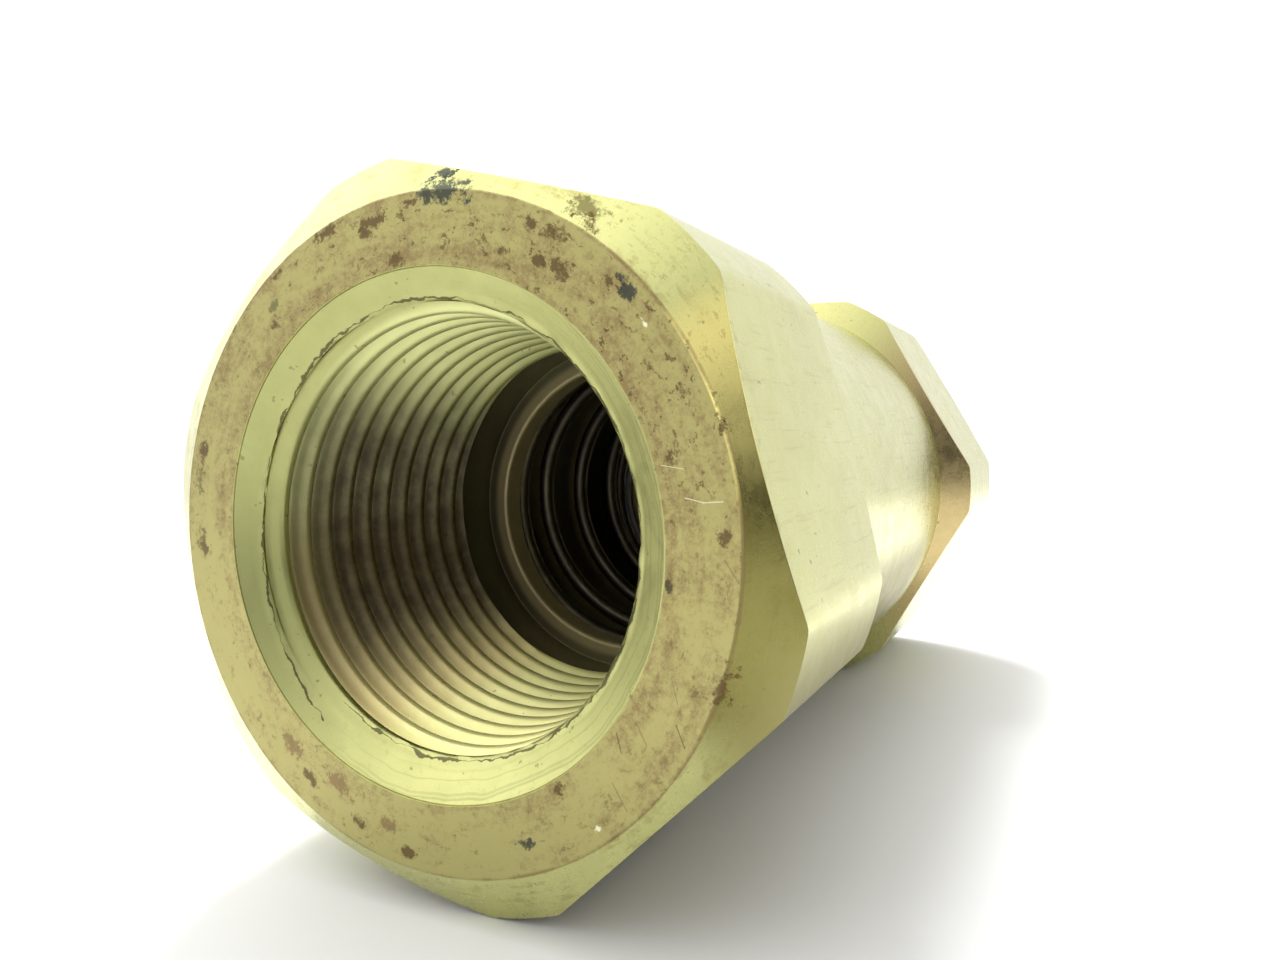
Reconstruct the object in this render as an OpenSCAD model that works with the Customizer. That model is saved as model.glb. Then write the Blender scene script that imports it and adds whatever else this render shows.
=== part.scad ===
// In-line spring check valve with two female taper-threaded pipe ports.
// The flow axis is X. The outlet port faces +X, the inlet port faces -X, and
// the origin is the middle of the valve's length on the flow axis.

/* [Whole valve] */
// Length between the two port faces
overall_len = 79; // [78:0.5:84]
// Diameter of the round barrel between the hexes
barrel_d = 38.1; // [37.6:0.1:38.4]

/* [Hexes] */
// Width across the flats of both hexes
hex_af = 39.7; // [39:0.1:41]
// Diameter that the six corners are turned down to
hex_corner_d = 43.4; // [42:0.1:44.8]
// Diameter of the flat ring left on each port face by the corner chamfer
hex_face_d = 37.6; // [36:0.1:38.4]
// Slope of the corner chamfers, axial over radial
hex_chamfer_slope = 0.577; // [0.4:0.01:0.7]
// Length of the outlet hex, chamfers included
outlet_hex_len = 19.6; // [16:0.1:22]
// Length of the inlet hex, chamfers included
inlet_hex_len = 21.5; // [18:0.1:22]
// Turn of the outlet hex against the inlet hex, in degrees
outlet_hex_turn = -15.2; // [-30:0.1:30]

/* [Ports] */
// Diameter of the countersink at the port face
countersink_d = 29.64; // [29:0.01:31]
// Depth of the countersink, where it meets the thread crests
countersink_depth = 1.88; // [1:0.01:2]
// Diameter over the thread crests
thread_crest_d = 24.6; // [24.2:0.1:24.8]
// Diameter at the thread roots, at the mouth
thread_root_d = 26.4; // [26.2:0.1:26.5]
// Distance between thread turns, 14 to the inch
thread_pitch = 1.814; // [1.8:0.001:1.82]
// Depth of the first full groove below the port face
thread_start = 3.05; // [2.8:0.01:3.2]
// Depth at which the outlet thread runs out into its relief
thread_depth = 20.2; // [20.1:0.1:20.8]
// Diameter of the relief behind the thread
relief_d = 25.32; // [25:0.01:25.6]

/* [Spring chamber] */
// Depth of the spring lip below the outlet face
lip_depth = 24; // [23:0.1:25]
// Thickness of the spring lip
lip_len = 2; // [1.5:0.1:2.5]
// Inner diameter of the spring lip
lip_d = 21.8; // [20:0.1:22]
// Diameter of the spring chamber
chamber_d = 25; // [24.8:0.1:25.4]

/* [Inlet cap] */
// Outer diameter of the screwed spigot
spigot_d = 31.8; // [31:0.1:32]
// Bore of the spigot, where the poppet slides
guide_bore_d = 26.1; // [26:0.05:26.2]
// Diameter of the undercut that carries the body seal
undercut_d = 29.6; // [29:0.1:30]
// Length of the undercut
undercut_len = 2.7; // [2.5:0.1:3]
// Diameter of the hole through the valve seat
seat_bore_d = 16.5; // [15:0.5:16.5]
// Width of the raised seat lip
seat_lip_w = 0.9; // [0.6:0.1:1]
// Height of the raised seat lip
seat_lip_h = 0.8; // [0.5:0.1:1]
// Thickness of the wall that carries the seat
seat_wall = 3.6; // [3:0.1:4]

/* [Body seal] */
// Thickness of the sealing ring's cord
ring_cord_d = 2; // [1.8:0.05:2]

/* [Poppet] */
// Diameter over the poppet's guide lands
poppet_d = 26; // [25.8:0.01:26.02]
// Length of the guide lands
poppet_len = 5.7; // [5:0.1:6]
// Lift from the seat to the stop
poppet_lift = 5.9; // [4:0.1:6]
// Number of flow scallops between the lands
scallops = 5; // [3:1:5]
// Diameter of each flow scallop
scallop_d = 15; // [10:0.5:15]
// Distance of the scallops' centres from the axis
scallop_offset = 17.6; // [17.6:0.1:18.5]
// Diameter of the nose that centres the spring
nose_d = 20; // [19:0.1:21]
// Length of the nose
nose_len = 1.6; // [1:0.1:2]
// Diameter of the tapped hub
hub_d = 10; // [9:0.5:11]
// Length of the hub in front of the lands
hub_len = 4.5; // [4:0.1:6]
// Diameter of the soft seat disc
disc_d = 19; // [18.6:0.1:19.2]
// Thickness of the soft seat disc
disc_len = 2; // [1.5:0.1:2.2]
// How far the disc stands proud of the poppet
disc_proud = 0.48; // [0.3:0.01:0.6]
// Diameter of the disc's retaining washer
retainer_d = 14; // [12:0.5:14.5]
// Thickness of the retaining washer
retainer_len = 1.2; // [0.8:0.1:1.4]

/* [Retaining screw] */
// Thread diameter of the screw
screw_d = 5; // [4:0.5:5]
// Length of the screw under its head
screw_len = 11; // [10:0.5:12]
// Width across the flats of the hex head
screw_head_af = 8; // [7:0.5:8]
// Thickness of the hex head
screw_head_len = 3.2; // [2.5:0.1:3.5]
// Outer diameter of the split lock washer
lock_washer_d = 8.6; // [8:0.1:9]
// Thickness of the split lock washer
lock_washer_len = 1.1; // [0.8:0.1:1.3]
// Width of the split
lock_washer_gap = 0.8; // [0.5:0.1:1.2]

/* [Spring] */
// Diameter of the spring wire
wire_d = 1.3; // [1.1:0.05:1.4]
// Inner diameter of the spring
spring_id = 21.8; // [21.6:0.1:22]
// Number of open turns between the closed end turns
open_turns = 2.7; // [2:0.1:3]
// Pitch of the closed end turns
closed_pitch = 1.4; // [1.4:0.05:1.6]
// Angle at which the wire starts on the lip, in degrees
spring_phase = 335; // [0:1:359]
// Thickness of the washer between spring and poppet
spring_washer_len = 0.5; // [0.4:0.1:0.8]

/* [Hidden] */
$fn = 96;
past = 0.5;                       // how far a cut runs past the face it opens
play = 0.03;                      // radial clearance of parts screwed or pushed together
outlet_x = overall_len / 2;
inlet_x = -overall_len / 2;
shoulder_x = inlet_x + inlet_hex_len;
hex_corner_r = hex_corner_d / 2;
hex_face_r = hex_face_d / 2;
barrel_r = barrel_d / 2;
shoulder_face_r = 18.6;           // where the inlet hex's front chamfer starts
barrel_edge = 0.4;                // edge break at the barrel's open end
lip_front_x = outlet_x - lip_depth;
lip_back_x = lip_front_x - lip_len;
seal_mouth_r = 17.9;              // countersink in the barrel that holds the seal
seal_mouth_len = 2.6;
inlet_thread_end_x = inlet_x + 18.6;
seat_wall_x = inlet_thread_end_x + 1.4;
seat_x = seat_wall_x + seat_wall + 2.0;
seat_lip_x = seat_x + seat_lip_h;
disc_back_x = seat_lip_x + 0.02;
poppet_back_x = disc_back_x + disc_proud;
poppet_front_x = poppet_back_x + poppet_len;
stop_x = poppet_front_x + poppet_lift + 0.02;   // shoulder in the body that stops the poppet
spigot_nose_x = stop_x - 0.5;
disc_front_x = disc_back_x + disc_len;
retainer_back_x = disc_back_x - retainer_len;
washer_back_x = retainer_back_x - lock_washer_len;
spring_back_x = poppet_front_x + spring_washer_len;
spring_len = lip_back_x - spring_back_x;
spring_r = (spring_id + wire_d) / 2;
end_rise = 0.35;                  // height of the wire's centre where it is ground flat
open_pitch = (spring_len - 2 * end_rise - 2 * closed_pitch) / open_turns;
total_turns = open_turns + 2;
steps_per_turn = 28;
wire_sides = 10;
brass = [0.80, 0.75, 0.47];
old_brass = [0.72, 0.62, 0.36];
steel = [0.55, 0.54, 0.52];
rubber = [0.12, 0.12, 0.12];

// A solid turned about the flow axis from a half outline of [radius, x] points.
module turned(outline) {
    rotate([0, 90, 0]) rotate_extrude() polygon(outline);
}

// A plain round bar along the flow axis between two places.
module bar(x_low, x_high, r) {
    translate([x_low, 0, 0]) rotate([0, 90, 0]) cylinder(h = x_high - x_low, r = r);
}

// A flat ring along the flow axis.
module ring(x_low, x_high, r_out, r_in) {
    difference() {
        bar(x_low, x_high, r_out);
        bar(x_low - past, x_high + past, r_in);
    }
}

// A hexagonal bar along the flow axis; turn 0 puts two corners on the Y axis.
module hex_bar(x_low, x_high, af, turn = 0) {
    translate([x_low, 0, 0]) rotate([0, 90, 0])
        linear_extrude(x_high - x_low) rotate(90 + turn) circle(r = af / sqrt(3), $fn = 6);
}

// A wrench hex with turned corners, chamfered at its port face and at its shoulder.
module wrench_hex(face_x, back_x, back_r, turn) {
    way = sign(back_x - face_x);
    face_chamfer = (hex_corner_r - hex_face_r) * hex_chamfer_slope;
    back_chamfer = (hex_corner_r - back_r) * hex_chamfer_slope;
    intersection() {
        hex_bar(min(face_x, back_x), max(face_x, back_x), hex_af, turn);
        turned([[0, face_x], [hex_face_r, face_x], [hex_corner_r, face_x + way * face_chamfer],
                [hex_corner_r, back_x - way * back_chamfer], [back_r, back_x], [0, back_x]]);
    }
}

// Faces of a closed tube whose skin is given as one ring of points after another.
function tube_faces(steps, sides) = concat(
    [[for (side = [0 : sides - 1]) side]],
    [for (step = [0 : steps - 1]) for (side = [0 : sides - 1])
        let (next = (side + 1) % sides, a = step * sides, b = a + sides)
        [a + side, b + side, b + next, a + next]],
    [[for (side = [sides - 1 : -1 : 0]) steps * sides + side]]);

// The V-shaped section of a thread groove at a depth below the port face. Its root follows
// the pipe taper of 1 in 16 on the diameter, and it turns right-handed about the flow axis.
function groove_section(face_x, way, at) =
    let (around = 180 + way * 360 * (at - thread_start) / thread_pitch,
         open_r = thread_crest_d / 2 - 0.1,
         root_r = (thread_root_d - at / 16) / 2,
         half_w = (root_r - open_r) * tan(30))
    [for (corner = [[open_r, half_w], [root_r, 0], [open_r, -half_w]])
        [face_x + way * (at + corner[1]), corner[0] * cos(around), corner[0] * sin(around)]];

// The helical groove of a port's thread, from inside the countersink to inside the relief.
module thread_groove(face_x, way, depth) {
    first = 0.3;
    last = depth + 0.9;
    steps = ceil((last - first) / thread_pitch * steps_per_turn);
    points = [for (step = [0 : steps]) each groove_section(face_x, way, first + (last - first) * step / steps)];
    polyhedron(points, tube_faces(steps, 3), convexity = 12);
}

// The hollow of a threaded port: countersink, bore over the crests and the thread's groove.
module port_cut(face_x, way, depth) {
    crest_r = thread_crest_d / 2;
    mouth_r = countersink_d / 2;
    slope = (mouth_r - crest_r) / countersink_depth;
    turned([[0, face_x - way * past], [mouth_r + past * slope, face_x - way * past],
            [crest_r, face_x + way * countersink_depth], [0, face_x + way * countersink_depth]]);
    bar(min(face_x - way * past, face_x + way * depth), max(face_x - way * past, face_x + way * depth), crest_r);
    thread_groove(face_x, way, depth);
}

module body() {
    color(brass) difference() {
        union() {
            wrench_hex(outlet_x, outlet_x - outlet_hex_len, barrel_r, outlet_hex_turn);
            turned([[0, shoulder_x], [barrel_r - barrel_edge, shoulder_x], [barrel_r, shoulder_x + barrel_edge],
                    [barrel_r, outlet_x - outlet_hex_len + past], [0, outlet_x - outlet_hex_len + past]]);
        }
        port_cut(outlet_x, -1, thread_depth);
        bar(lip_front_x, outlet_x - thread_depth, relief_d / 2);
        bar(lip_back_x - past, lip_front_x + past, lip_d / 2);
        bar(stop_x - past, lip_back_x, chamber_d / 2);
        bar(shoulder_x - past, stop_x, spigot_d / 2 + play);
        turned([[0, shoulder_x - past], [seal_mouth_r, shoulder_x - past], [seal_mouth_r, shoulder_x],
                [spigot_d / 2 + play, shoulder_x + seal_mouth_len], [0, shoulder_x + seal_mouth_len]]);
    }
}

module inlet_cap() {
    color(brass) difference() {
        union() {
            wrench_hex(inlet_x, shoulder_x, shoulder_face_r, 0);
            bar(shoulder_x - past, shoulder_x + undercut_len, undercut_d / 2);
            bar(shoulder_x + undercut_len, spigot_nose_x, spigot_d / 2);
        }
        port_cut(inlet_x, 1, seat_wall_x - inlet_x - 1.4);
        bar(inlet_thread_end_x, seat_wall_x, relief_d / 2);
        turned([[0, seat_wall_x - past], [relief_d / 2, seat_wall_x - past], [relief_d / 2, seat_wall_x],
                [seat_bore_d / 2, seat_wall_x + 2.0], [0, seat_wall_x + 2.0]]);
        bar(seat_wall_x, seat_lip_x + past, seat_bore_d / 2);
        ring(seat_x, seat_lip_x + past, guide_bore_d / 2, seat_bore_d / 2 + seat_lip_w);
        bar(seat_lip_x, spigot_nose_x + past, guide_bore_d / 2);
    }
}

module body_seal_ring() {
    cord_r = ring_cord_d / 2;
    color(rubber) rotate([0, 90, 0]) translate([0, 0, shoulder_x + cord_r + 0.02])
        rotate_extrude() translate([undercut_d / 2 + cord_r + 0.04, 0]) circle(r = cord_r, $fn = 48);
}

// Distance of the wire's centre behind the spring lip after a number of turns.
function wire_height(turns) =
    turns < 1 ? end_rise + closed_pitch * turns
    : turns < 1 + open_turns ? end_rise + closed_pitch + open_pitch * (turns - 1)
    : end_rise + closed_pitch * (turns - open_turns) + open_pitch * open_turns;

// One point on the wire's skin: step along the helix, side around the wire.
function wire_point(step, side) =
    let (turns = step / steps_per_turn,
         around = spring_phase + 360 * turns,
         section = 360 * side / wire_sides,
         r = spring_r + wire_d / 2 * cos(section))
    [lip_back_x - wire_height(turns) + wire_d / 2 * sin(section), r * cos(around), r * sin(around)];

// The left-hand coil spring, ground flat where it bears on the lip and on its washer.
module spring() {
    last = round(total_turns * steps_per_turn);
    points = [for (step = [0 : last]) for (side = [0 : wire_sides - 1]) wire_point(step, side)];
    color(steel) intersection() {
        polyhedron(points, tube_faces(last, wire_sides), convexity = 6);
        bar(spring_back_x, lip_back_x, spring_r + wire_d);
    }
}

module spring_washer() {
    color(steel) ring(poppet_front_x, spring_back_x, spring_r + wire_d / 2, nose_d / 2 + 0.2);
}

module poppet() {
    color(old_brass) difference() {
        union() {
            bar(poppet_back_x, poppet_front_x, poppet_d / 2);
            bar(poppet_back_x, poppet_front_x + nose_len, nose_d / 2);
            bar(poppet_back_x, poppet_front_x + hub_len, hub_d / 2);
        }
        for (scallop = [0 : scallops - 1])
            rotate([360 / scallops * (scallop + 0.5), 0, 0]) translate([0, scallop_offset, 0])
                bar(poppet_back_x - past, poppet_front_x + nose_len + past, scallop_d / 2);
        bar(poppet_back_x - past, disc_front_x, disc_d / 2 + play);
        bar(disc_front_x - past, disc_front_x + screw_len, screw_d / 2 + play);
    }
}

module seat_disc() {
    color(rubber) ring(disc_back_x, disc_front_x, disc_d / 2, screw_d / 2 + play);
}

module disc_retainer() {
    color(steel) ring(retainer_back_x, disc_back_x, retainer_d / 2, screw_d / 2 + 0.1);
}

module lock_washer() {
    color(steel) difference() {
        ring(washer_back_x, retainer_back_x, lock_washer_d / 2, screw_d / 2 + 0.1);
        translate([washer_back_x - past, 0, -lock_washer_gap / 2])
            cube([lock_washer_len + 2 * past, lock_washer_d, lock_washer_gap]);
    }
}

module retaining_screw() {
    color(steel) union() {
        hex_bar(washer_back_x - screw_head_len, washer_back_x, screw_head_af);
        bar(washer_back_x - past, washer_back_x + screw_len, screw_d / 2);
    }
}

body();
inlet_cap();
body_seal_ring();
spring();
spring_washer();
poppet();
seat_disc();
disc_retainer();
lock_washer();
retaining_screw();
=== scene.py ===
"""Looks of an in-line spring check valve in brass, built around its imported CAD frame.

Lengths in this script are in millimetres along the flow axis (x) and out from it (r), in the CAD's own
frame. An angle runs from +Y towards +Z. Meshes and positions are turned into metres where they are made.
"""
import math
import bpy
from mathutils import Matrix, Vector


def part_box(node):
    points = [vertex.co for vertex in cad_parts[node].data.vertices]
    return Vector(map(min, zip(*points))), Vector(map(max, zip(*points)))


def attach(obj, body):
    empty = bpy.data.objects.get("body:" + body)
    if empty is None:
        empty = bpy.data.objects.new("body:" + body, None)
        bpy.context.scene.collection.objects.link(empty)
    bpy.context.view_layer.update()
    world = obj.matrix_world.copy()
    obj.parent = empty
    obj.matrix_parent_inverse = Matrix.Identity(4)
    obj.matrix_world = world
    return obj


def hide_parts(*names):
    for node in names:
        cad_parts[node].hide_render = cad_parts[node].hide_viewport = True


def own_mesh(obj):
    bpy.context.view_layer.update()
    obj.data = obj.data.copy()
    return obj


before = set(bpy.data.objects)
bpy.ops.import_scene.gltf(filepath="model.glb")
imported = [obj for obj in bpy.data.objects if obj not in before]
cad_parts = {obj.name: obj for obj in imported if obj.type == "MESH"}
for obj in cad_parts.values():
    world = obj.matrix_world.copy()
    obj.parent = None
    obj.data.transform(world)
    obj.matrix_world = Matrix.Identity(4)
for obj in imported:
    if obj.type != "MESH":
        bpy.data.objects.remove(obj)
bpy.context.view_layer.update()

from types import SimpleNamespace

import bmesh
import bpy
import numpy as np
from mathutils import Matrix, Vector, noise

MM = 0.001

# ---------------------------------------------------------------- places read from the frame


def span(node):
    """Lowest and highest x of a CAD node, in millimetres."""
    low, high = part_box(node)
    return low.x / MM, high.x / MM


shoulder_x, outlet_x = span("body")
inlet_x, spigot_nose_x = span("inlet_cap")
spring_back_x, lip_back_x = span("spring")
poppet_back_x, hub_front_x = span("poppet")
disc_back_x, disc_front_x = span("seat_disc")
retainer_back_x, retainer_front_x = span("disc_retainer")
lock_back_x, lock_front_x = span("lock_washer")
screw_back_x, screw_tip_x = span("retaining_screw")
washer_back_x, washer_front_x = span("spring_washer")
seal_back_x, seal_front_x = span("body_seal_ring")

# ---------------------------------------------------------------- driving dimensions

# As in the CAD, but the thread's crests follow its taper here: this is their distance at the port's face
THREAD_CREST_R = 12.65
THREAD_HEIGHT = 0.85

# As in the CAD
HEX_FLAT_R = 19.85
HEX_CORNER_R = 21.7
FACE_RING_R = 18.8
CHAMFER_SLOPE = 0.577
BARREL_R = 19.05
OUTLET_HEX_LEN = 19.6
OUTLET_HEX_TURN = math.radians(-15.2)
SHOULDER_FACE_R = 18.6
MOUTH_R = 14.82
MOUTH_SLOPE = 1.34
THREAD_PITCH = 1.814
THREAD_TAPER = 1 / 32
THREAD_START = 3.05
THREAD_DEPTH = 20.2
INLET_THREAD_DEPTH = 18.6
RELIEF_R = 12.66
LIP_R = 10.9
LIP_LEN = 2.0
CHAMBER_R = 12.5
SPIGOT_R = 15.9
GUIDE_R = 13.05
UNDERCUT_R = 14.8
UNDERCUT_LEN = 2.7
SEAL_MOUTH_R = 17.9
SEAL_MOUTH_LEN = 2.6
INLET_RELIEF_LEN = 1.4
SEAT_CONE_LEN = 2.0
SEAT_R = 8.25
SEAT_LIP_R = 9.15
SEAT_LIP_H = 0.8
SEAT_WALL = 5.6
STOP_GAP = 0.5
LAND_R = 13.0
NOSE_R = 10.0
NOSE_LEN = 1.6
HUB_R = 5.0
SCALLOPS = 5
SCALLOP_R = 7.5
SCALLOP_OFFSET = 17.6
DISC_R = 9.5
RETAINER_R = 7.0
LOCK_WASHER_R = 4.3
SCREW_FACE_R = 3.7
SCREW_FLAT_R = 4.0
SCREW_CORNER_R = 4.45
SCREW_PITCH = 0.8
SCREW_THREAD_DEPTH = 0.42
SCREW_R = 2.5
FIT = 0.03
HOLE_ROOM = 0.1
WIRE_R = 0.65
SPRING_R = 11.55
SPRING_PHASE = math.radians(335)
OPEN_TURNS = 2.7
CLOSED_PITCH = 1.4
END_RISE = 0.35

# Not in the CAD, the ragged edge in the countersink: the angle where it is shallowest, its depth there and
# its two drops, then in radians round from that angle how long the first drop is, where the second begins
# and how long it is
BURR_END = math.radians(235)
BURR_RISE = (0.6, 0.48, 0.4)
BURR_TURNS = (1.0, 2.4, 1.8)

# Fineness of the meshes
COLUMNS_PER_SIDE = 48
PLAIN_COLUMNS = 160
ROWS_PER_PITCH = 20

# ---------------------------------------------------------------- where the photographer stood

EYE = (79.3, 33.3, 5.78)
VIEW_WAY = (-0.8940, -0.4451, -0.0510)
VIEW_UP = (-0.0458, -0.0223, 0.9987)
LENS = 25.9
SENSOR_WIDTH = 36

# The table's reach behind the valve as the camera sees it, in front of it and to each side
TABLE_REACH = 180
TABLE_FRONT = 500
TABLE_SIDE = 700

# ---------------------------------------------------------------- mesh building


def rounded(outline, steps=4):
    """Points (x, r) of an outline of (x, r, fillet) corners, each fillet an arc between support points."""
    points = []
    count = len(outline)
    for i, (x, r, fillet) in enumerate(outline):
        here = np.array([x, r])
        if fillet == 0:
            points.append(here)
            continue
        before = np.array(outline[i - 1][:2]) - here
        after = np.array(outline[(i + 1) % count][:2]) - here
        before_len = np.linalg.norm(before)
        after_len = np.linalg.norm(after)
        before = before / before_len
        after = after / after_len
        half = math.acos(np.clip(before @ after, -1, 1)) / 2
        back = min(fillet / math.tan(half), 0.45 * before_len, 0.45 * after_len)
        support = min(back * 1.6, 0.48 * before_len)
        points.append(here + before * support)
        for step in range(steps + 1):
            t = step / steps
            points.append(here + before * back * (1 - t) ** 2 + after * back * t ** 2)
        points.append(here + after * min(back * 1.6, 0.48 * after_len))
    return points


def hex_angles(turn):
    """Column angles around a hex, with columns on the lines where the turned corners begin."""
    edge = math.acos(HEX_FLAT_R / HEX_CORNER_R)
    near = 0.012
    flat = np.linspace(-edge + near, edge - near, COLUMNS_PER_SIDE - 12)
    corner = np.linspace(edge + near, math.pi / 3 - edge - near, 10)
    side = np.concatenate([flat, [edge], corner, [math.pi / 3 - edge]])
    return np.concatenate([side + turn + math.pi / 6 + k * math.pi / 3 for k in range(6)])


def hex_radius(angle, turn):
    """Distance from the axis to a hex's skin, corners turned down, with the crease between them eased."""
    off_centre = (angle - turn) % (math.pi / 3) - math.pi / 6
    flat = HEX_FLAT_R / math.cos(off_centre)
    ease = 0.05
    return -ease * math.log(math.exp(-flat / ease) + math.exp(-HEX_CORNER_R / ease))


def thread_rows(angle, hand, deepest):
    """Depths of the thread's rows in one column, deepest first, and the thread's fall from its root at each.

    The rows follow the helix, so they shift by one pitch over a whole turn; rows past an end stay on it.
    """
    shift = hand * (angle - math.pi) / (2 * math.pi)
    last = int((deepest - THREAD_START) / THREAD_PITCH) + 3
    share = np.arange(ROWS_PER_PITCH) / ROWS_PER_PITCH - 0.5
    off_root = np.tile(np.abs(share) * 2, last + 3)
    turns = np.repeat(np.arange(-3, last), ROWS_PER_PITCH) + np.tile(share, last + 3) + shift
    depths = np.clip(THREAD_START + turns * THREAD_PITCH, 0.05, deepest)
    flank = np.clip(off_root * 1.25 - 0.05, 0, 1)
    fall = THREAD_HEIGHT * (0.3 * flank + 0.7 * (1 - np.cos(math.pi * flank)) / 2)
    return depths[::-1], fall[::-1]


def burr_depth(angle):
    """Depth of the ragged edge in the countersink, which runs out towards the face as the thread's start."""
    turned = (BURR_END - angle) % (2 * math.pi)
    first = min(1, turned / BURR_TURNS[0])
    second = np.clip((turned - BURR_TURNS[1]) / BURR_TURNS[2], 0, 1)
    return BURR_RISE[0] + BURR_RISE[1] * first + BURR_RISE[2] * second


def bore_points(face_x, way, depth, relief_to, angle, hand):
    """The threaded bore in one column, from the relief's inner end out to the countersink's rim."""
    depths, fall = thread_rows(angle, hand, depth)
    around = Vector((math.cos(angle), math.sin(angle), 0))
    ragged = 0.06 + 0.12 * noise.noise(around * 9) + 0.06 * noise.noise(around * 31)
    burr = ragged * np.exp(-((depths - burr_depth(angle)) / 0.12) ** 2)
    thread = THREAD_CREST_R + THREAD_HEIGHT - depths * THREAD_TAPER - fall
    cone = MOUTH_R - MOUTH_SLOPE * depths
    run_out = RELIEF_R - (depth - depths) * 1.3
    radius = np.maximum(np.maximum(thread, cone), run_out) - burr
    relief = [np.array([face_x + way * d, RELIEF_R]) for d in np.linspace(relief_to, depth + 0.1, 4)]
    return relief + [np.array([face_x + way * d, r]) for d, r in zip(depths, radius)]


def lathe(name, angles, column, closed=True, thread_end=0, thread_hand=0):
    """A mesh from columns of (x, r) points around the flow axis, all of one length.

    The last thread_end rows of a column are a thread's, and meet the first column's a pitch further on.
    """
    columns = [column(a) for a in angles]
    rows = len(columns[0])
    verts = []
    for angle, points in zip(angles, columns):
        c, s = math.cos(angle), math.sin(angle)
        verts += [(x * MM, r * c * MM, r * s * MM) for x, r in points]

    def across(row):
        if row < rows - thread_end:
            return row
        return min(max(row - thread_hand * ROWS_PER_PITCH, rows - thread_end), rows - 1)

    faces = []
    total = len(columns)
    for i in range(total):
        a = i * rows
        b = (i + 1) % total * rows
        meets = across if i == total - 1 else int
        for j in range(rows if closed else rows - 1):
            k = (j + 1) % rows
            faces.append((a + j, a + k, b + meets(k), b + meets(j)))
    return finish_mesh(name, verts, faces)


def finish_mesh(name, verts, faces, sharp=40):
    """Makes the object, welds its poles and shades it smooth except over sharp edges."""
    mesh = bpy.data.meshes.new(name)
    mesh.from_pydata(verts, [], faces)
    bm = bmesh.new()
    bm.from_mesh(mesh)
    bmesh.ops.remove_doubles(bm, verts=bm.verts, dist=1e-7)
    bmesh.ops.recalc_face_normals(bm, faces=bm.faces)
    bm.to_mesh(mesh)
    bm.free()
    mesh.shade_smooth()
    mesh.set_sharp_from_angle(angle=math.radians(sharp))
    piece = bpy.data.objects.new(name, mesh)
    bpy.context.scene.collection.objects.link(piece)
    return piece


def tube_faces(steps, sides):
    """Faces of a tube with closed ends: steps lengths of it, each with its number of sides."""
    faces = []
    for step in range(steps):
        for side in range(sides):
            a = step * sides
            b = a + sides
            after = (side + 1) % sides
            faces.append((a + side, b + side, b + after, a + after))
    faces.append(tuple(range(sides)))
    faces.append(tuple(range(steps * sides, (steps + 1) * sides))[::-1])
    return faces


def plain_angles(count=PLAIN_COLUMNS):
    return np.linspace(0, 2 * math.pi, count, endpoint=False)


# ---------------------------------------------------------------- the valve's pieces


def make_body():
    hex_end_x = outlet_x - OUTLET_HEX_LEN
    lip_front_x = lip_back_x + LIP_LEN
    stop_x = spigot_nose_x + STOP_GAP

    def column(angle):
        rho = hex_radius(angle, OUTLET_HEX_TURN)
        outer = rounded([
            (outlet_x, MOUTH_R, 0.05),
            (outlet_x, FACE_RING_R, 0.1),
            (outlet_x - (rho - FACE_RING_R) * CHAMFER_SLOPE, rho, 0.06),
            (hex_end_x + (rho - BARREL_R) * CHAMFER_SLOPE, rho, 0.15),
            (hex_end_x, BARREL_R, 0.3),
            (shoulder_x + 0.4, BARREL_R, 0.1),
            (shoulder_x, BARREL_R - 0.4, 0.1),
            (shoulder_x, SEAL_MOUTH_R, 0.05),
            (shoulder_x + SEAL_MOUTH_LEN, SPIGOT_R + FIT, 0.05),
            (stop_x, SPIGOT_R + FIT, 0.05),
            (stop_x, CHAMBER_R, 0.1),
            (lip_back_x, CHAMBER_R, 0.1),
            (lip_back_x, LIP_R, 0.1),
            (lip_front_x, LIP_R, 0.35),
            (lip_front_x, RELIEF_R, 0.1)])
        return outer + bore_points(outlet_x, -1, THREAD_DEPTH, outlet_x - lip_front_x - 0.3, angle, -1)

    rows = len(thread_rows(0, -1, THREAD_DEPTH)[0])
    return lathe("valve_body", hex_angles(OUTLET_HEX_TURN), column, thread_end=rows, thread_hand=-1)


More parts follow.
